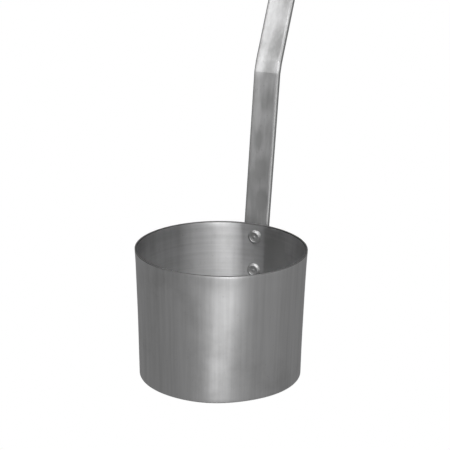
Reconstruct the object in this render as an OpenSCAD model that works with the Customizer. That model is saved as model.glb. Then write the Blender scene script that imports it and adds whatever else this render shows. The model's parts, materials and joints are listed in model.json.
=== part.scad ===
// Melting pot: a drawn aluminium cup with a long bent strap handle, held by two rivets.
// Origin at the centre of the base's underside, +Z up, handle on the +Y side. Millimetres.

/* [Pot] */
// Outer diameter at the rim
rim_d = 126; // [100:1:160]
// Height from the base to the rim
pot_h = 97.5; // [80:0.5:140]
// Slope of the wall from vertical, in degrees
wall_slope = 1.79; // [0:0.01:6]
// Thickness of the sheet in the wall and the base
sheet_t = 1.5; // [1:0.1:2]
// Outer radius of the corner between wall and base
corner_r = 2.5; // [2.5:0.5:12]

/* [Handle seat] */
// How far the wall is pressed flat under the handle
seat_depth = 0.3; // [0.25:0.05:0.8]
// Length over which the flat fades out below the handle
seat_fade = 14; // [8:1:25]

/* [Handle] */
// Width of the flat bar
bar_w = 20; // [15:1:30]
// Thickness of the flat bar
bar_t = 4; // [2:0.5:6]
// Length of the handle's foot below the rim
foot_len = 46; // [46:1:60]
// Length of the riser between the two bends
riser_len = 116; // [60:1:200]
// Length of the grip beyond the upper bend
grip_len = 134; // [60:1:220]
// Angle of the bend at the rim, in degrees
rim_bend = 5.76; // [3:0.01:12]
// Angle of the upper bend, in degrees
upper_bend = 19.67; // [10:0.01:50]
// Inside radius of the bend at the rim
rim_bend_r = 8; // [4:1:40]
// Inside radius of the upper bend
upper_bend_r = 10; // [4:1:40]
// Corner radius at the end of the foot
foot_corner_r = 5; // [2:0.5:7]
// Diameter of the hanging hole
hang_hole_d = 8; // [5:0.5:10]
// Distance of the hanging hole from the grip's end
hang_hole_in = 12; // [9:0.5:20]

/* [Rivets] */
// Diameter of a rivet's shank, which fills its holes
shank_d = 5; // [4.5:0.5:6]
// Diameter of the domed head on the handle's back
head_d = 9; // [8:0.5:10]
// Height of the domed head
head_h = 2.4; // [1.5:0.1:3.5]
// Diameter of the spread end inside the pot
end_d = 11; // [9:0.5:11]
// Height of the spread end
end_h = 2.6; // [2:0.1:3.5]
// Diameter of the hollow in the middle of the spread end
hollow_d = 4.4; // [3:0.2:5]
// Depth of the hollow
hollow_depth = 1.6; // [0.6:0.1:2]
// Distance of the upper rivet from the rim
upper_rivet_in = 10; // [8:0.5:12]
// Distance between the two rivets
rivet_pitch = 26.5; // [20:0.5:28]

/* [Hidden] */
$fn = 96;

past = 1; // how far a cutter runs past what it cuts
corner_x = rim_d / 2 - (pot_h - corner_r) * tan(wall_slope) - corner_r / cos(wall_slope);
rivet_depths = [upper_rivet_in, upper_rivet_in + rivet_pitch];
grip_t = sheet_t + bar_t; // the wall and the handle together

// Half section of the solid that lies inset under the pot's outside, up to height top
module cup_half_section(inset, top) {
    r = corner_r - inset;
    intersection() {
        translate([corner_x, corner_r]) {
            translate([-corner_x, -r]) square([corner_x, top]);
            intersection() {
                circle(r);
                translate([0, -2 * r]) square(4 * r);
                rotate(-wall_slope) translate([-2 * r, -4 * r]) square(4 * r);
            }
            rotate(-wall_slope) translate([-corner_x, 0]) square([corner_x + r, 2 * top]);
        }
        square([rim_d, top]);
    }
}

// Frame on the wall's outside at the rim: +Z up the wall's slope, +Y straight out of the wall
module on_wall(depth) {
    translate([0, rim_d / 2, pot_h]) rotate([-wall_slope, 0, 0]) translate([0, -depth, 0])
        children();
}

// What the flat seat takes off the solid that lies inset under the pot's outside
module seat_cut(inset) {
    run_out = 10 * seat_depth;
    on_wall(inset + seat_depth) rotate([90, 0, 90])
        linear_extrude(rim_d, center = true)
            polygon([[0, 2 * past], [0, -foot_len], [run_out, -foot_len - 10 * seat_fade],
                     [rim_d, -foot_len], [rim_d, 2 * past]]);
}

// Frame of the handle and the rivets: the origin is on the seat at the rim,
// +X points out of the wall, +Y up the bar and +Z across it
module on_seat() {
    on_wall(seat_depth) rotate([90, 0, 90]) children();
}

// Moves the handle's frame from the start of a bend to its end
module past_bend(angle, r) {
    translate([bar_t + r, 0]) rotate(-angle) translate([-bar_t - r, 0]) children();
}

module past_rim_bend() {
    past_bend(rim_bend, rim_bend_r) children();
}

module past_upper_bend() {
    past_rim_bend() translate([0, riser_len]) past_bend(upper_bend, upper_bend_r) children();
}

// Side view of a bend that starts at the origin
module bend(angle, r) {
    far = bar_t + r + past;
    intersection() {
        translate([bar_t + r, 0]) difference() {
            circle(bar_t + r);
            circle(r);
        }
        translate([-past, 0]) square(far);
        past_bend(angle, r) translate([-past, -far]) square(far);
    }
}

// Side view of the whole bar
module bar_side() {
    translate([0, -foot_len]) square([bar_t, foot_len]);
    bend(rim_bend, rim_bend_r);
    past_rim_bend() {
        square([bar_t, riser_len]);
        translate([0, riser_len]) bend(upper_bend, upper_bend_r);
    }
    past_upper_bend() square([bar_t, grip_len]);
}

// Turns a shape drawn on the bar's face into a cutter through the bar
module through_bar() {
    rotate([0, 90, 0]) translate([0, 0, -past]) linear_extrude(bar_t + 2 * past) children();
}

// What rounding both corners to radius r takes off a bar's end at the origin
module end_corners(r) {
    for (flip = [0, 1])
        mirror([flip, 0]) translate([bar_w / 2 - r, -past]) difference() {
            square(r + past);
            translate([0, r + past]) circle(r);
        }
}

// Shank-sized hole from the pot's inside to the handle's back
module rivet_holes() {
    for (depth = rivet_depths)
        translate([-sheet_t - past, -depth]) rotate([0, 90, 0])
            cylinder(h = grip_t + 2 * past, d = shank_d);
}

module pot_shell() {
    color("silver")
    difference() {
        difference() {
            rotate_extrude() cup_half_section(0, pot_h);
            seat_cut(0);
        }
        difference() {
            rotate_extrude() cup_half_section(sheet_t, pot_h + past);
            seat_cut(sheet_t);
        }
        on_seat() rivet_holes();
    }
}

module handle_strap() {
    color("darkgray")
    on_seat() difference() {
        linear_extrude(bar_w, center = true) bar_side();
        translate([0, -foot_len]) through_bar() end_corners(foot_corner_r);
        past_upper_bend() translate([0, grip_len]) {
            mirror([0, 1]) through_bar() end_corners(bar_w / 2);
            translate([0, -hang_hole_in]) through_bar() circle(d = hang_hole_d);
        }
        rivet_holes();
    }
}

// Radius of the ball whose cap has diameter d and height h
function ball_r(d, h) = (pow(d / 2, 2) + pow(h, 2)) / (2 * h);

// Half section of a dome that stands on the line y = 0
module dome_half_section(d, h) {
    intersection() {
        translate([0, h - ball_r(d, h)]) circle(ball_r(d, h));
        square([d, h]);
    }
}

// Half section of a set rivet: y = 0 is the wall's inside, and y runs outwards
module rivet_half_section() {
    square([shank_d / 2, grip_t]);
    translate([0, grip_t]) dome_half_section(head_d, head_h);
    mirror([0, 1]) difference() {
        dome_half_section(end_d, end_h);
        translate([0, end_h - hollow_depth + ball_r(hollow_d, hollow_depth)])
            circle(ball_r(hollow_d, hollow_depth));
    }
}

module rivet(depth) {
    color("gainsboro")
    on_seat() translate([-sheet_t, -depth]) rotate([0, 90, 0])
        rotate_extrude() rivet_half_section();
}

module upper_rivet() {
    rivet(rivet_depths[0]);
}

module lower_rivet() {
    rivet(rivet_depths[1]);
}

pot_shell();
handle_strap();
upper_rivet();
lower_rivet();
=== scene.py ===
import json
import math

import bpy
from mathutils import Matrix, Vector

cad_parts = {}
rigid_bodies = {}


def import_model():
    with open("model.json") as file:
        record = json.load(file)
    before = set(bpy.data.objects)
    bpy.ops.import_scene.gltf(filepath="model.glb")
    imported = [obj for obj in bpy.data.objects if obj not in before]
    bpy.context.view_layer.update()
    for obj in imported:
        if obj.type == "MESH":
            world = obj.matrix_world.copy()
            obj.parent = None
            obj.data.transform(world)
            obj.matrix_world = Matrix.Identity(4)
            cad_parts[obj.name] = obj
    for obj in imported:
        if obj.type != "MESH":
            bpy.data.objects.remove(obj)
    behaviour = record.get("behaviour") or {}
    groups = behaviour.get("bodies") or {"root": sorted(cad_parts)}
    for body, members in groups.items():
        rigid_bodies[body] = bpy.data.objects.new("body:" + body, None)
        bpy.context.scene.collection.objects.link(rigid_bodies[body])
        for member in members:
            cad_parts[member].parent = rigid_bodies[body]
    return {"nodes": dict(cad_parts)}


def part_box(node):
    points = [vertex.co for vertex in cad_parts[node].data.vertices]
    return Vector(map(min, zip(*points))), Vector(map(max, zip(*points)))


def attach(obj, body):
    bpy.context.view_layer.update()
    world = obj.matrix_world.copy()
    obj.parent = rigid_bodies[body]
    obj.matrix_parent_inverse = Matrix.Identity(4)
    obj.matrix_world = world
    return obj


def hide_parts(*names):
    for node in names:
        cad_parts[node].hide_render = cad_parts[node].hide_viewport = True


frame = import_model()
print("frame loaded:", sorted(frame["nodes"]))
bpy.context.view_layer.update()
mm = 0.001


# helpers

def deselectAll():
    for o in bpy.data.objects:
        o.select_set(False)


def finishPiece(obj, node, angle=35):
    # bakes the place into the mesh, smooths it and puts it on the frame
    deselectAll()
    obj.select_set(True)
    bpy.context.view_layer.objects.active = obj
    bpy.ops.object.transform_apply(location=True, rotation=True, scale=True)
    bpy.ops.object.shade_smooth_by_angle(angle=math.radians(angle))
    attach(obj, "root")
    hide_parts(node)


def selectRing(obj, test):
    # picks vertices by their place, leaves edit mode on
    bpy.ops.object.mode_set(mode="EDIT")
    bpy.ops.mesh.select_mode(type="VERT")
    bpy.ops.mesh.select_all(action="DESELECT")
    bpy.ops.object.mode_set(mode="OBJECT")
    for v in obj.data.vertices:
        v.select = test(v.co)
    bpy.ops.object.mode_set(mode="EDIT")


def turnedPiece(name, profile, segments):
    # a turned shape: a fan in the middle, then ring after ring along the profile of (radius, height)
    r, z = profile[0]
    deselectAll()
    bpy.ops.mesh.primitive_circle_add(vertices=segments, radius=r, fill_type="TRIFAN", location=(0, 0, z))
    obj = bpy.context.object
    obj.name = name
    bpy.ops.object.transform_apply(location=True)
    selectRing(obj, lambda co: math.hypot(co.x, co.y) > 0.9 * r)
    for nextR, nextZ in profile[1:-1]:
        bpy.ops.mesh.extrude_edges_move(TRANSFORM_OT_translate={"value": (0, 0, nextZ - z)})
        bpy.ops.transform.resize(value=(nextR / r, nextR / r, 1))
        r, z = nextR, nextZ
    bpy.ops.mesh.extrude_edges_move(TRANSFORM_OT_translate={"value": (0, 0, profile[-1][1] - z)})
    bpy.ops.mesh.merge(type="CENTER")
    bpy.ops.mesh.select_all(action="SELECT")
    bpy.ops.mesh.normals_make_consistent(inside=False)
    bpy.ops.object.mode_set(mode="OBJECT")
    return obj


def arc(cx, cz, r, start, end, steps):
    # points on an arc in the profile plane, angles in degrees
    points = []
    for i in range(steps + 1):
        a = math.radians(start + (end - start) * i / steps)
        points.append((cx + r * math.cos(a), cz + r * math.sin(a)))
    return points


def softStep(x, lo, hi):
    t = min(max((x - lo) / (hi - lo), 0), 1)
    return t * t * (3 - 2 * t)


# pot

# lengths in mm, angles in degrees
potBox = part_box("pot_shell")
pot = {
    "rimRadius": round(potBox[1].x / mm, 1),
    "height": round(potBox[1].z / mm, 1),
    "slope": 1.79,
    "sheet": 1.5,
    "cornerRadius": 1.0,
    "insideCorner": 1.2,
    "baseRings": [2, 12, 30, 45],   # radii of the rings in the flat base
    "wallRings": 52,
    "rimEdge": 0.3,         # rounding of the cut rim
    "flare": 0.15,          # how far the rim turns out
    "flareHeight": 14.0,
    "hollow": 0.33,         # how far the wall draws in at mid height
    "outOfRound": 0.22,
    "buckle": 0.05,         # faint waves all over the wall
    "rimWave": 0.18,
    "twist": 1.05,          # slow wave in the front of the wall
    "twistTurn": -60.0,
    "twistWidth": 18.0,
    "baseTilt": 0.4,        # up on one side, down on the other
    "baseTiltTurn": 10.0,
    "seatDepth": 0.3,
    "footLength": 46.0,
    "seatFade": 14.0,
    "seatExtra": 0.22,      # the flat is deeper on the inside
    "seatEdge": 0.1,        # how softly the flat meets the wall
    "seatEdgeLeft": 0.4,    # softer by this much on the left
    "rivetDepths": [10.0, 36.5],
    "rivetDish": 0.1,       # dent under each rivet
    "rivetDishRadius": 6.5,
    "segments": 384,
}
potSlope = math.radians(pot["slope"])


def wallRadius(z):
    # outside radius of the wall at a height, in mm
    h = pot["height"]
    r = pot["rimRadius"] - (h - z) * math.tan(potSlope)
    r -= pot["hollow"] * math.sin(math.pi * min(max(z / h, 0), 1))
    r += pot["flare"] * softStep(z, h - pot["flareHeight"], h) ** 1.5
    return r


def potProfile():
    # under the base, up the outside, over the rim and down the inside
    h, t, c, e = pot["height"], pot["sheet"], pot["cornerRadius"], pot["rimEdge"]
    steps = pot["wallRings"]
    baseR = wallRadius(c) - c
    points = [(r, 0) for r in pot["baseRings"]]
    points += [(baseR - 4, 0), (baseR - 1, 0)]
    points += arc(baseR, c, c, -90, 0, 8)
    for i in range(1, steps + 1):
        z = c + (h - e - c) * (i / steps) ** 0.9
        points.append((wallRadius(z), z))
    rim = wallRadius(h)
    points += arc(rim - e, h - e, e, 0, 90, 4)[1:]
    points += arc(rim - t + e * 0.9, h - e * 0.9, e * 0.9, 90, 180, 4)
    inC = pot["insideCorner"]
    for i in range(1, steps + 1):
        z = h - e - (h - e - t - inC) * (i / steps) ** 1.1
        points.append((wallRadius(z) - t, z))
    inR = wallRadius(t + inC) - t - inC
    points += arc(inR, t + inC, inC, 0, -90, 5)[1:]
    points.append((inR - 3, t))
    points += [(r, t) for r in reversed(pot["baseRings"])]
    points.append((0, t))
    return [(r * mm, z * mm) for r, z in points]


def seatPlane(depth):
    # how far the pressed flat lies inside the wall line, depth mm below the rim
    lip = 0.1 * softStep(-depth, -3, 0)
    below = depth - pot["footLength"]
    if below < 0:
        return pot["seatDepth"] - lip
    return pot["seatDepth"] * (1 - 1.1 * below / pot["seatFade"])


def pressSeat(obj):
    # the press tool leaves a flat under the handle with a crease beside it, and the rivets dish it
    for v in obj.data.vertices:
        x, y, z = v.co / mm
        # only the wall behind the handle
        if y < 50 or abs(x) > 20 or z < 20:
            continue
        depth = (pot["height"] - z) / math.cos(potSlope)
        line = pot["rimRadius"] - (pot["height"] - z) * math.tan(potSlope)
        inside = math.hypot(x, y) < line - 0.5 * pot["sheet"] - 0.2
        plane = line - seatPlane(depth)
        edge = pot["seatEdge"]
        if inside:
            fade = softStep(pot["footLength"] + pot["seatFade"] - depth, 0, pot["seatFade"])
            plane -= pot["sheet"] + pot["seatExtra"] * fade
            edge += pot["seatEdgeLeft"] * softStep(-x, -2, 8)
        over = y - plane
        if over > -1.5:
            pressed = plane + 0.5 * over - 0.5 * math.hypot(over, edge)
            y = min(y, pressed + 0.5 * edge * softStep(-over, 0, 1.5))
        if inside:
            for d in pot["rivetDepths"]:
                away = math.hypot(x, depth - d) / pot["rivetDishRadius"]
                y += pot["rivetDish"] * math.exp(-away ** 4)
        v.co = Vector((x, y, z)) * mm


def handMade(obj):
    # small faults from drawing and trimming
    h = pot["height"]
    for v in obj.data.vertices:
        x, y, z = v.co / mm
        r = math.hypot(x, y)
        # the middle of the base stays flat
        if r < 20:
            continue
        turn = math.atan2(y, x)
        up = softStep(z, 5, h)
        out = pot["outOfRound"] * up * (0.6 * math.cos(2 * turn + 0.7) + 0.4 * math.cos(3 * turn - 1.1))
        out += pot["buckle"] * math.sin(5 * turn + z / 13) * math.sin(z / 17 + 1)
        u = (turn - math.radians(pot["twistTurn"])) / math.radians(pot["twistWidth"])
        out += pot["twist"] * u * math.exp(-u * u / 2) * math.sin(math.pi * (z / h - 0.5))
        f = 1 + out / r
        wave = pot["rimWave"] * softStep(z, 60, h)
        z += wave * (0.5 * math.sin(2 * turn - 0.4) + 0.5 * math.sin(3 * turn + 2.0))
        # the base isn't quite square to the wall
        z += pot["baseTilt"] * (1 - up) * (r / 60) * math.cos(turn - math.radians(pot["baseTiltTurn"]))
        v.co = Vector((x * f, y * f, z)) * mm


potShell = turnedPiece("potShell", potProfile(), pot["segments"])
handMade(potShell)
pressSeat(potShell)
finishPiece(potShell, "pot_shell")
print("pot done:", len(potShell.data.polygons), "faces")


# handle

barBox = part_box("handle_strap")
handle = {
    "width": round((barBox[1].x - barBox[0].x) / mm, 1),
    "thick": 4.0,
    "edge": 1.15,           # rounding of the bar's long edges
    "riserLength": 116.0,
    "gripLength": 134.0,
    "rimBend": 5.76,
    "upperBend": 19.67,
    "outerRadius": [12.0, 14.0],    # of the two bends as plain arcs, which set the lengths
    "rimBendRadius": 9.0,           # this and the next radii are on the front face
    "crease": (0.6, 3.5, 4.0),      # share of the upper bend, distance before its middle, radius
    "slowCurve": (0.4, 5.25, 30.0),     # the rest of it, distance past its middle, radius
    "footCorner": 5.0,
    "holeSize": 8.0,
    "holeEdge": 0.5,
    "holeIn": 12.0,
    "dish": 0.22,           # hollow that flattening left in both faces
    "dishHalfWidth": 8.4,
    "narrow": 0.984,        # width at the foot, against the plain bar
    "wide": 1.02,           # and from the middle to the tip
    "cutEvery": 5.0,
    "cutsAlong": [-7.4, -5.5, -3.0, 0.01, 3.0, 5.5, 7.4],
    # dark marks, the darker low end and the painted highlights at the upper bend: across, height, size
    "marks": [
        (3.5, 117, 7), (2, 140, 9), (2.5, 192, 8),
        (4.5, 234, 9), (5, 270, 10), (-3, 160, 6),
    ],
    # darker round the low end of the bar
    "darkerLowEnd": (0, 100, 60),
    # painted highlights where the upper bend catches the light
    "bendHighlights": [(-5.5, 215.5, 6), (7.5, 216.5, 4)],
}

rimBend = math.radians(handle["rimBend"])
upperBend = math.radians(handle["upperBend"])
toRimBend = handle["outerRadius"][0] * math.tan(rimBend / 2)
halfUpperBend = handle["outerRadius"][1] * math.tan(upperBend / 2)
toUpperBend = toRimBend + handle["riserLength"] + halfUpperBend
barLength = pot["footLength"] + toUpperBend + halfUpperBend + handle["gripLength"]

# each bend: where its two straights would meet, angle, radius
creaseShare, creaseBefore, creaseRadius = handle["crease"]
curveShare, curvePast, curveRadius = handle["slowCurve"]
bends = [
    (toRimBend, rimBend, handle["rimBendRadius"]),
    (toUpperBend - creaseBefore, upperBend * creaseShare, creaseRadius),
    (toUpperBend + curvePast, upperBend * curveShare, curveRadius),
]


def barPoint(x, s, t):
    # where a point of the straight bar goes when it is bent: s along from the foot, t into its back
    s -= pot["footLength"]
    p = Vector((0, 0))
    lean = 0.0
    reached = 0.0
    for bendAt, angle, radius in bends:
        tangent = radius * math.tan(angle / 2)
        straight = bendAt - reached - tangent
        if s <= straight:
            break
        p += Vector((math.sin(lean), math.cos(lean))) * straight
        s -= straight
        reached = bendAt + tangent
        part = min(s / (radius * angle), 1) * angle
        centre = p + Vector((math.cos(lean), -math.sin(lean))) * radius
        lean += part
        p = centre - Vector((math.cos(lean), -math.sin(lean))) * radius
        s -= radius * part
        if part < angle:
            break
    p += Vector((math.sin(lean), math.cos(lean))) * s
    p += Vector((math.cos(lean), -math.sin(lean))) * t
    # from the seat's own axes to the pot's
    p.x -= pot["seatDepth"]
    y = pot["rimRadius"] + p.x * math.cos(potSlope) + p.y * math.sin(potSlope)
    z = pot["height"] - p.x * math.sin(potSlope) + p.y * math.cos(potSlope)
    return Vector((x, y, z)) * mm


def makeBar():
    w, t, n = handle["width"], handle["thick"], barLength
    deselectAll()
    bpy.ops.mesh.primitive_plane_add(size=1)
    obj = bpy.context.object
    obj.name = "handleStrap"
    # x across, y along, z into the back, in mm until it is bent
    obj.scale = (w, n, 1)
    obj.location = (0, n / 2, 0)
    bpy.ops.object.transform_apply(location=True, scale=True)
    selectRing(obj, lambda co: co.y > n - 1)
    bpy.ops.mesh.bevel(offset=w / 2 - 0.02, segments=18, affect="VERTICES", profile=0.5)
    selectRing(obj, lambda co: co.y < 1)
    bpy.ops.mesh.bevel(offset=handle["footCorner"], segments=9, affect="VERTICES", profile=0.5)
    # the hanging hole is a second outline, and the face is filled between the two
    bpy.ops.mesh.select_all(action="SELECT")
    bpy.ops.mesh.delete(type="ONLY_FACE")
    hole = (0, n - handle["holeIn"], 0)
    bpy.ops.mesh.primitive_circle_add(vertices=48, radius=handle["holeSize"] / 2, location=hole)
    bpy.ops.mesh.select_all(action="SELECT")
    bpy.ops.mesh.fill()
    bpy.ops.mesh.select_all(action="SELECT")
    bpy.ops.mesh.extrude_region_move(TRANSFORM_OT_translate={"value": (0, 0, t)})
    bpy.ops.mesh.select_all(action="SELECT")
    bpy.ops.mesh.normals_make_consistent(inside=False)
    # round the edges of both faces, and less so the hole's
    for inHole, offset, steps in ((False, handle["edge"], 5), (True, handle["holeEdge"], 3)):
        bpy.ops.mesh.select_mode(type="EDGE")
        bpy.ops.mesh.select_all(action="DESELECT")
        bpy.ops.mesh.edges_select_sharp(sharpness=math.radians(60))
        bpy.ops.object.mode_set(mode="OBJECT")
        for e in obj.data.edges:
            a, b = (obj.data.vertices[i].co for i in e.vertices)
            middle = (a + b) / 2
            near = math.hypot(middle.x, middle.y - hole[1]) < 0.7 * handle["holeSize"]
            e.select = e.select and near == inHole
        bpy.ops.object.mode_set(mode="EDIT")
        bpy.ops.mesh.bevel(offset=offset, segments=steps, affect="EDGES", profile=0.5)
    bpy.ops.object.mode_set(mode="OBJECT")
    return obj


def sliceBar(obj):
    # cuts across, so that it can bend
    bpy.context.view_layer.objects.active = obj
    bpy.ops.object.mode_set(mode="EDIT")
    bpy.ops.mesh.select_mode(type="VERT")
    cuts = []
    for bendAt, angle, radius in bends:
        start = pot["footLength"] + bendAt - radius * math.tan(angle / 2)
        for i in range(-2, 15):
            cuts.append(start + radius * angle * i / 12)
    # clear of the foot's corners and of the hole
    y = handle["footCorner"] + 1.013
    while y < barLength - 26:
        cuts.append(y)
        y += handle["cutEvery"]
    for y in cuts:
        bpy.ops.mesh.select_all(action="SELECT")
        bpy.ops.mesh.bisect(plane_co=(0, y, 0), plane_no=(0, 1, 0))
    # and along, for the hollow that flattening leaves in the faces
    for x in handle["cutsAlong"]:
        bpy.ops.mesh.select_all(action="SELECT")
        bpy.ops.mesh.bisect(plane_co=(x, 0, 0), plane_no=(1, 0, 0))
    bpy.ops.object.mode_set(mode="OBJECT")


def bendBar(obj):
    # widens and dishes the flat bar, then bends it
    for v in obj.data.vertices:
        x, s, t = v.co
        along = s / barLength
        grow = handle["narrow"] + (handle["wide"] - handle["narrow"]) * softStep(along, 0.05, 0.62)
        dish = handle["dish"] * max(1 - (x / handle["dishHalfWidth"]) ** 2, 0)
        dish *= softStep(along, 0.16, 0.22) * (1 - softStep(along, 0.93, 0.97))
        if t < 0.01:
            t += dish
        if t > handle["thick"] - 0.01:
            t -= 0.6 * dish
        v.co = barPoint(x * grow, s, t)


handleStrap = makeBar()
sliceBar(handleStrap)
bendBar(handleStrap)
finishPiece(handleStrap, "handle_strap", 40)
print("handle done:", len(handleStrap.data.polygons), "faces")


# rivets

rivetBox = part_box("upper_rivet")
rivet = {
    "shank": 5.0,
    "headSize": 9.0,
    "headHeight": 2.4,
    "endSize": round((rivetBox[1].x - rivetBox[0].x) / mm, 1),
    "endHeight": 2.4,
    "hollowSize": 6.2,
    "hollowDepth": 0.75,
    "button": 0.6,          # height of the small button that the tool leaves in the hollow
    "buttonRadius": 1.1,
    "crestRadius": 0.5,     # rounding of the ring between hollow and dome
    "gap": 0.02,            # hair's breadth between the rivet and what it holds
    "dents": [0.05, 0.04],  # how uneven the rivet's outline is
    "segments": 96,
}


def domeHeight(r, size, height):
    ball = ((size / 2) ** 2 + height ** 2) / (2 * height)
    return math.sqrt(max(ball * ball - r * r, 0)) - (ball - height)


def endHeight(r):
    # the spread end is flat in the middle and rounds off towards its edge
    return rivet["endHeight"] * math.sqrt(max(1 - (2 * r / rivet["endSize"]) ** 3, 0))


def rivetProfile():
    # from the middle of the hollow, over the spread end, along the shank and over the head
    grip = pot["sheet"] + handle["thick"]
    gap = rivet["gap"]
    end, shank, head = rivet["endSize"] / 2, rivet["shank"] / 2, rivet["headSize"] / 2
    hollow = rivet["hollowSize"] / 2
    crest = hollow + 0.55
    points = []
    for i in range(1, 9):
        r = hollow * i / 10
        z = rivet["hollowDepth"] * math.cos(math.pi / 2 * (r / hollow) ** 1.4) ** 0.8
        z -= rivet["button"] * math.exp(-(r / rivet["buttonRadius"]) ** 2)
        points.append((r, z - endHeight(crest)))
    points += arc(crest, rivet["crestRadius"] - endHeight(crest), rivet["crestRadius"], 200, 290, 6)
    start = crest + 0.3
    for i in range(1, 11):
        r = start + (end - 0.06 - start) * math.sin(math.pi / 2 * i / 10)
        points.append((r, -endHeight(r) - gap))
    points += [(end, -0.12), (end, gap), (shank, gap), (shank, grip - gap)]
    points += [(head - 0.05, grip - gap), (head, grip + 0.12)]
    for i in range(1, 13):
        r = (head - 0.05) * math.cos(math.pi / 2 * i / 13)
        points.append((r, grip + domeHeight(r, rivet["headSize"], rivet["headHeight"]) + 0.03))
    points.append((0, grip + rivet["headHeight"] + 0.03))
    return [(r * mm, z * mm) for r, z in points]


def placeRivet(obj, depth):
    # the rivet's axis stands square on the seat, depth mm below the rim
    upWall = Vector((0, math.sin(potSlope), math.cos(potSlope)))
    out = Vector((0, math.cos(potSlope), -math.sin(potSlope)))
    at = Vector((0, pot["rimRadius"], pot["height"])) * mm
    at -= out * (pot["seatDepth"] + pot["sheet"]) * mm
    at -= upWall * depth * mm
    side = upWall.cross(out)
    obj.matrix_world = Matrix.Translation(at) @ Matrix((side, upWall, out)).transposed().to_4x4()


def hammered(obj, seed):
    # dents of the setting tool, a little different on each rivet
    grip = pot["sheet"] + handle["thick"]
    for v in obj.data.vertices:
        x, y, z = v.co / mm
        # the shank stays round
        if 0 < z < grip - 0.1:
            continue
        turn = math.atan2(y, x)
        r = math.hypot(x, y)
        out = rivet["dents"][0] * math.sin(3 * turn + seed)
        out += rivet["dents"][1] * math.sin(5 * turn + 2.3 * seed)
        z += rivet["dents"][0] * math.sin(2 * turn + seed * 1.7) * r / 4
        f = 1 + out / 5
        v.co = Vector((x * f, y * f, z)) * mm


upperRivet = turnedPiece("upperRivet", rivetProfile(), rivet["segments"])
lowerRivet = upperRivet.copy()
lowerRivet.data = upperRivet.data.copy()
lowerRivet.name = "lowerRivet"
bpy.context.collection.objects.link(lowerRivet)
rivetRows = [
    (upperRivet, "upper_rivet", pot["rivetDepths"][0], 1.0),
    (lowerRivet, "lower_rivet", pot["rivetDepths"][1], 4.2),
]
for obj, node, depth, seed in rivetRows:
    hammered(obj, seed)
    placeRivet(obj, depth)
    finishPiece(obj, node, 50)
print("rivets done:", len(upperRivet.data.polygons), "faces each")


# shared effects

def makeGroup(name, masks):
    # takes a vector and gives masks
    group = bpy.data.node_groups.new(name, "ShaderNodeTree")
    group.interface.new_socket("Vector", in_out="INPUT", socket_type="NodeSocketVector")
    for label in masks:
        group.interface.new_socket(label, in_out="OUTPUT", socket_type="NodeSocketFloat")
    source = group.nodes.new("NodeGroupInput")
    out = group.nodes.new("NodeGroupOutput")
    return group, source.outputs["Vector"], out.inputs


def addNode(tree, kind, **values):
    node = tree.nodes.new(kind)
    for key, value in values.items():
        setattr(node, key, value)
    return node


def mathNode(tree, operation, a, b=None):
    node = addNode(tree, "ShaderNodeMath", operation=operation)
    for socket, value in ((node.inputs[0], a), (node.inputs[1], b)):
        if value is None:
            continue
        if isinstance(value, (int, float)):
            socket.default_value = value
        else:
            tree.links.new(value, socket)
    return node.outputs[0]


def noiseNode(tree, vector, scale, detail, roughness):
    node = addNode(tree, "ShaderNodeTexNoise")
    node.inputs["Scale"].default_value = scale
    node.inputs["Detail"].default_value = detail
    node.inputs["Roughness"].default_value = roughness
    tree.links.new(vector, node.inputs["Vector"])
    return node.outputs["Fac"]


def stretch(tree, vector, scale):
    node = addNode(tree, "ShaderNodeMapping")
    node.inputs["Scale"].default_value = scale
    tree.links.new(vector, node.inputs["Vector"])
    return node.outputs["Vector"]


def rampNode(tree, value, lo, hi):
    # 0 below lo, 1 above hi
    node = addNode(tree, "ShaderNodeMapRange")
    node.interpolation_type = "SMOOTHSTEP"
    node.inputs["From Min"].default_value = lo
    node.inputs["From Max"].default_value = hi
    tree.links.new(value, node.inputs["Value"])
    return node.outputs["Result"]


def addUp(tree, parts):
    # sum of (value, share)
    total = None
    for value, share in parts:
        part = mathNode(tree, "MULTIPLY", value, share)
        total = part if total is None else mathNode(tree, "ADD", total, part)
    return total


def grainGroup():
    # fine lines that run along Z of the vector given, at two widths
    group, vector, out = makeGroup("grainLines", ["Fine", "Broad"])
    fine = noiseNode(group, stretch(group, vector, (1, 1, 0.02)), 1800, 3.0, 0.6)
    broad = noiseNode(group, stretch(group, vector, (1, 1, 0.035)), 320, 4.0, 0.6)
    group.links.new(fine, out["Fine"])
    group.links.new(broad, out["Broad"])
    return group


def smudgeGroup():
    # soft stains, small spots of dull oxide and a cloud that unevens the shine
    group, vector, out = makeGroup("smudges", ["Stain", "Spots", "Cloud"])
    stain = rampNode(group, noiseNode(group, vector, 22, 5.0, 0.62), 0.50, 0.74)
    spots = rampNode(group, noiseNode(group, vector, 420, 2.0, 0.5), 0.66, 0.78)
    cloud = noiseNode(group, vector, 60, 4.0, 0.6)
    group.links.new(stain, out["Stain"])
    group.links.new(spots, out["Spots"])
    group.links.new(cloud, out["Cloud"])
    return group


def scratchGroup():
    # thin hairlines in two directions, broken up so that they come and go
    group, vector, out = makeGroup("hairlines", ["Lines"])
    lines = None
    for turn, size in (((0.5, 0.3, 0.2), 70), ((-0.7, 0.9, -0.4), 95)):
        turned = addNode(group, "ShaderNodeMapping")
        turned.inputs["Rotation"].default_value = turn
        turned.inputs["Scale"].default_value = (1, 1, 0.12)
        group.links.new(vector, turned.inputs["Vector"])
        noise = noiseNode(group, turned.outputs["Vector"], size, 1.5, 0.5)
        line = mathNode(group, "ABSOLUTE", mathNode(group, "SUBTRACT", noise, 0.5))
        line = mathNode(group, "SUBTRACT", 1.0, rampNode(group, line, 0.0, 0.006))
        lines = line if lines is None else mathNode(group, "MAXIMUM", lines, line)
    keep = rampNode(group, noiseNode(group, vector, 35, 2.0, 0.55), 0.52, 0.66)
    group.links.new(mathNode(group, "MULTIPLY", lines, keep), out["Lines"])
    return group


grainLines = grainGroup()
smudges = smudgeGroup()
hairlines = scratchGroup()


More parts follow.
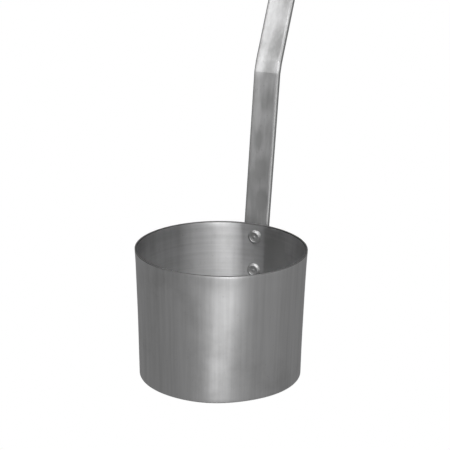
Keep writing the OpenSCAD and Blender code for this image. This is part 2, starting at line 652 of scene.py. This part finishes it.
def useGroup(tree, group, vector):
    node = addNode(tree, "ShaderNodeGroup", node_tree=group)
    tree.links.new(vector, node.inputs["Vector"])
    return node.outputs


def startMaterial(name):
    mat = bpy.data.materials.new(name)
    mat.use_nodes = True
    tree = mat.node_tree
    bsdf = tree.nodes["Principled BSDF"]
    bsdf.inputs["Metallic"].default_value = 1.0
    coords = addNode(tree, "ShaderNodeTexCoord")
    return mat, tree, bsdf, coords.outputs["Object"]


def axesOf(tree, vector):
    split = addNode(tree, "ShaderNodeSeparateXYZ")
    tree.links.new(vector, split.inputs[0])
    return split.outputs


def around(tree, vector, radius):
    # unrolls the wall twice: with Z up the wall, and with Z round it
    axes = axesOf(tree, vector)
    turn = mathNode(tree, "ARCTAN2", axes["X"], mathNode(tree, "MULTIPLY", axes["Y"], -1.0))
    along = mathNode(tree, "MULTIPLY", turn, radius)
    upWall = addNode(tree, "ShaderNodeCombineXYZ")
    tree.links.new(along, upWall.inputs["X"])
    tree.links.new(axes["Z"], upWall.inputs["Z"])
    roundWall = addNode(tree, "ShaderNodeCombineXYZ")
    tree.links.new(along, roundWall.inputs["Z"])
    tree.links.new(axes["Z"], roundWall.inputs["X"])
    return upWall.outputs[0], roundWall.outputs[0], axes["Z"]


def softMarkAt(tree, vector, across, up, size):
    # a soft mark, longer up than across, 1 in its middle and 0 outside, in mm; used for stains and for
    # painted shade and highlights
    squash = 0.55
    away = addNode(tree, "ShaderNodeVectorMath", operation="MULTIPLY_ADD")
    away.inputs[1].default_value = (1.0, 0.0, squash)
    away.inputs[2].default_value = (-across * mm, 0, -squash * up * mm)
    tree.links.new(vector, away.inputs[0])
    length = addNode(tree, "ShaderNodeVectorMath", operation="LENGTH")
    tree.links.new(away.outputs["Vector"], length.inputs[0])
    return mathNode(tree, "SUBTRACT", 1.0, rampNode(tree, length.outputs["Value"], 0.0, size * mm))


def addBumps(tree, bsdf, layers):
    # layers of (height, strength, distance in mm), one on top of the other
    last = None
    for height, strength, distance in layers:
        bump = addNode(tree, "ShaderNodeBump")
        bump.inputs["Strength"].default_value = strength
        bump.inputs["Distance"].default_value = distance * mm
        tree.links.new(height, bump.inputs["Height"])
        if last is not None:
            tree.links.new(last, bump.inputs["Normal"])
        last = bump.outputs["Normal"]
    tree.links.new(last, bsdf.inputs["Normal"])


def grey(value):
    # a hair cooler when it is bright, as the bare metal is
    return (value, value, value + 0.005 if value > 0.6 else value, 1)


def addTone(tree, bsdf, greys, value, cutRimShade=None):
    # colour between two greys, and a third on the cut rim, painted dark as shade for the dark line along
    # it
    node = addNode(tree, "ShaderNodeMix", data_type="RGBA", clamp_factor=True)
    node.inputs["A"].default_value = grey(greys[0])
    node.inputs["B"].default_value = grey(greys[1])
    tree.links.new(value, node.inputs["Factor"])
    colour = node.outputs["Result"]
    if cutRimShade is not None:
        node = addNode(tree, "ShaderNodeMix", data_type="RGBA")
        tree.links.new(cutRimShade, node.inputs["Factor"])
        tree.links.new(colour, node.inputs["A"])
        node.inputs["B"].default_value = grey(aluminium["cutRimShade"])
        colour = node.outputs["Result"]
    tree.links.new(colour, bsdf.inputs["Base Color"])


def addRoughness(tree, bsdf, ends, value):
    # the first of the ends where value is 0, the second where it is 1, and on beyond them
    node = addNode(tree, "ShaderNodeMapRange")
    node.clamp = False
    node.inputs["To Min"].default_value = ends[0]
    node.inputs["To Max"].default_value = ends[1]
    tree.links.new(value, node.inputs["Value"])
    tree.links.new(node.outputs["Result"], bsdf.inputs["Roughness"])


# materials

# greys as light and dark, roughness as low and high
aluminium = {
    "potTone": [0.76, 0.54],
    "potRough": [0.32, 0.42],
    # the inside's greys are darker than the outside's: painted shade inside the pot
    "insideShadedTone": [0.66, 0.42],
    "insideRough": [0.45, 0.55],
    "insideScour": 0.75,        # how far the round scouring stretches the shine up and down
    "creaseShade": (17, 70, 26),    # painted shade beside the crease: across, height, size
    "barTone": [0.80, 0.40],
    "barRough": [0.46, 0.56],
    "rivetTone": [0.46, 0.34],
    "rivetRough": [0.50, 0.62],
    # painted shade: the dark line along the top of the rim
    "cutRimShade": 0.26,
}


def potMaterial(name, inside):
    # the outside keeps the draw lines up the wall, the inside is scoured round and painted darker as
    # shade
    mat, tree, bsdf, vector = startMaterial(name)
    upWall, roundWall, height = around(tree, vector, (pot["rimRadius"] - 1) * mm)
    grain = useGroup(tree, grainLines, roundWall if inside else upWall)
    smudge = useGroup(tree, smudges, vector)
    hair = useGroup(tree, hairlines, vector)
    # the top of the rim: rougher, and painted dark as shade
    rim = rampNode(tree, height, (pot["height"] - 0.85) * mm, (pot["height"] - 0.5) * mm)
    bands = noiseNode(tree, stretch(tree, upWall, (1, 1, 0.06)), 110, 3.0, 0.6)
    tones = [
        (smudge["Stain"], 0.45),
        (rampNode(tree, grain["Broad"], 0.3, 0.7), 0.28),
        (rampNode(tree, bands, 0.35, 0.7), 0.25),
        (smudge["Spots"], 0.3),
    ]
    if inside:
        # painted shade that starts at the crease beside the flat
        beside = rampNode(tree, axesOf(tree, vector)["X"], 7.0 * mm, 9.5 * mm)
        creaseShadePatch = mathNode(tree, "MULTIPLY", softMarkAt(tree, vector, *aluminium["creaseShade"]), beside)
        tones.append((creaseShadePatch, 1.2))
        # the shine runs up and down
        bsdf.inputs["Anisotropic"].default_value = aluminium["insideScour"]
        bsdf.inputs["Anisotropic Rotation"].default_value = 0.25
    addTone(tree, bsdf, aluminium["insideShadedTone" if inside else "potTone"], addUp(tree, tones), rim)
    rough = addUp(tree, [(smudge["Cloud"], 0.6), (grain["Fine"], 0.4), (rim, 3.0)])
    addRoughness(tree, bsdf, aluminium["insideRough" if inside else "potRough"], rough)
    addBumps(tree, bsdf, [
        (smudge["Cloud"], 0.25, 0.3),
        (bands, 0.22, 0.12),
        (grain["Broad"], 0.28, 0.06),
        (grain["Fine"], 0.3, 0.015),
        (hair["Lines"], -0.3, 0.02),
    ])
    return mat


def barMaterial():
    # grain along the bar, dark marks and duller sides
    mat, tree, bsdf, vector = startMaterial("handleAluminium")
    grain = useGroup(tree, grainLines, vector)
    smudge = useGroup(tree, smudges, vector)
    hair = useGroup(tree, hairlines, vector)
    blotch = noiseNode(tree, stretch(tree, vector, (1.6, 0.3, 1)), 34, 3.0, 0.5)
    blotch = rampNode(tree, blotch, 0.46, 0.70)
    marks = None
    for place in handle["marks"]:
        mark = softMarkAt(tree, vector, *place)
        marks = mark if marks is None else mathNode(tree, "MAXIMUM", marks, mark)
    side = handle["width"] / 2
    across = mathNode(tree, "ABSOLUTE", axesOf(tree, vector)["X"])
    edge = rampNode(tree, across, (side - 1.6) * mm, (side - 0.4) * mm)
    tone = addUp(tree, [
        (blotch, 0.35),
        (marks, 0.8),
        (edge, 0.9),
        (smudge["Stain"], 0.3),
        (rampNode(tree, grain["Broad"], 0.3, 0.7), 0.4),
        (smudge["Spots"], 0.4),
        (softMarkAt(tree, vector, *handle["darkerLowEnd"]), 0.5),
    ])
    # painted highlight: bright spots at the upper bend, where the bend catches the light
    tone = mathNode(tree, "ADD", mathNode(tree, "MULTIPLY", tone, 0.6), 0.4)
    for place in handle["bendHighlights"]:
        bendGlint = mathNode(tree, "MULTIPLY", softMarkAt(tree, vector, *place), 0.8)
        tone = mathNode(tree, "SUBTRACT", tone, bendGlint)
    addTone(tree, bsdf, aluminium["barTone"], tone)
    rough = addUp(tree, [(smudge["Cloud"], 0.6), (grain["Fine"], 0.4), (edge, 2.0)])
    addRoughness(tree, bsdf, aluminium["barRough"], rough)
    addBumps(tree, bsdf, [
        (smudge["Cloud"], 0.35, 0.4),
        (grain["Broad"], 0.3, 0.06),
        (grain["Fine"], 0.3, 0.02),
        (hair["Lines"], -0.3, 0.02),
    ])
    return mat


def rivetMaterial():
    mat, tree, bsdf, vector = startMaterial("rivetAluminium")
    smudge = useGroup(tree, smudges, vector)
    hair = useGroup(tree, hairlines, vector)
    tone = addUp(tree, [(smudge["Stain"], 0.5), (smudge["Spots"], 0.4)])
    addTone(tree, bsdf, aluminium["rivetTone"], tone)
    addRoughness(tree, bsdf, aluminium["rivetRough"], smudge["Cloud"])
    addBumps(tree, bsdf, [(smudge["Cloud"], 0.3, 0.15), (hair["Lines"], -0.3, 0.02)])
    return mat


potShell.data.materials.append(potMaterial("potAluminium", False))
potShell.data.materials.append(potMaterial("potInsideAluminium", True))
for face in potShell.data.polygons:
    # inner faces look at the axis, or up from near the bottom
    c, n = face.center, face.normal
    inward = n.x * c.x + n.y * c.y < -0.3 * math.hypot(c.x, c.y)
    upward = n.z > 0.5 and c.z < 20 * mm
    if inward or upward:
        face.material_index = 1
handleStrap.data.materials.append(barMaterial())
rivetAluminium = rivetMaterial()
upperRivet.data.materials.append(rivetAluminium)
lowerRivet.data.materials.append(rivetAluminium)
print("materials done")


# floor, lights and camera

studio = {
    "seen": 1.0,            # what the camera sees of floor and surroundings
    "lightAway": 1.6,
    "floorDim": 0.21,       # what the metal sees of the floor
    "roomDim": 0.004,       # and of the room
    "lightAim": 0.05,       # height of the point the lights look at
    # name, degrees right of the camera and up, width and height in m, power
    "softboxes": [
        ("floorStripLeft", -2, 1, 0.14, 0.13, 1.7),
        ("floorStrip", 4, 1, 0.12, 0.13, 8.6),
        ("floorStripRight", 10, 1, 0.14, 0.13, 0.8),
        ("floorSide", 75, 1, 0.60, 0.13, 1.2),
        ("lowKey", 8, 10, 0.18, 0.40, 1.1),
        ("windowFarLeft", -18, 36, 0.25, 0.60, 3.0),
        ("windowLeft", -9, 36, 0.18, 0.60, 5.2),
        ("windowMiddle", 0, 36, 0.18, 0.60, 2.6),
        ("windowRight", 8, 36, 0.18, 0.60, 0.9),
        ("sideWindow", 42, 36, 0.50, 0.60, 2.9),
        ("topLeft", -20, 65, 0.60, 0.60, 2.5),
        ("topFarLeft", -43, 62, 0.45, 0.90, 4.5),
        ("topRight", 20, 65, 0.85, 0.90, 10.0),
    ],
    "cameraTurn": 24.69,    # degrees from the front towards the right, and up
    "cameraUp": 17.96,
    "cameraRoll": 0.0095,   # in radians
    "cameraAway": 1.26,
    "cameraAim": 0.1147,    # height of the point the camera looks at
    "cameraAside": 0.00269,     # and how far right of the pot's axis it is
    "lens": 138.71,
}


def seenAndDim(tree, outputName, shader, dim):
    # the camera sees plain white, everything else a dim grey
    light = addNode(tree, "ShaderNodeLightPath")
    mix = addNode(tree, "ShaderNodeMixShader")
    tree.links.new(light.outputs["Is Camera Ray"], mix.inputs[0])
    for slot, strength in ((1, dim), (2, studio["seen"])):
        source = addNode(tree, shader)
        source.inputs["Color"].default_value = (1, 1, 1, 1)
        source.inputs["Strength"].default_value = strength
        tree.links.new(source.outputs[0], mix.inputs[slot])
    tree.links.new(mix.outputs[0], tree.nodes[outputName].inputs["Surface"])


deselectAll()
bpy.ops.mesh.primitive_plane_add(size=6, location=(0, 0, -0.0005))
floor = bpy.context.object
floor.name = "floor"
floorMat = bpy.data.materials.new("floorWhite")
floorMat.use_nodes = True
seenAndDim(floorMat.node_tree, "Material Output", "ShaderNodeEmission", studio["floorDim"])
floor.data.materials.append(floorMat)

world = bpy.data.worlds.new("studioWorld")
bpy.context.scene.world = world
world.use_nodes = True
seenAndDim(world.node_tree, "World Output", "ShaderNodeBackground", studio["roomDim"])


def directionTo(turn, up):
    # from the pot, degrees from its front towards the right, and up
    a, e = math.radians(turn), math.radians(up)
    return Vector((math.sin(a) * math.cos(e), -math.cos(a) * math.cos(e), math.sin(e)))


def addSoftbox(name, turn, up, width, height, power):
    # a rectangular light that looks at the pot
    toward = directionTo(studio["cameraTurn"] + turn, up)
    data = bpy.data.lights.new(name, "AREA")
    data.shape = "RECTANGLE"
    data.size = width
    data.size_y = height
    data.energy = power
    obj = bpy.data.objects.new(name, data)
    bpy.context.collection.objects.link(obj)
    obj.location = Vector((0, 0, studio["lightAim"])) + toward * studio["lightAway"]
    obj.rotation_euler = toward.to_track_quat("Z", "Y").to_euler()


for light in studio["softboxes"]:
    addSoftbox(*light)

cameraData = bpy.data.cameras.new("camera")
camera = bpy.data.objects.new("camera", cameraData)
bpy.context.collection.objects.link(camera)
back = directionTo(studio["cameraTurn"], studio["cameraUp"])
right = directionTo(studio["cameraTurn"] + 90, 0)
target = right * studio["cameraAside"] + Vector((0, 0, studio["cameraAim"]))
cameraData.lens = studio["lens"]
camera.location = target + back * studio["cameraAway"]
camera.rotation_euler = back.to_track_quat("Z", "Y").to_euler()
camera.rotation_euler.rotate_axis("Z", studio["cameraRoll"])
bpy.context.scene.camera = camera
bpy.context.scene.view_settings.view_transform = "Standard"
print("stage done")
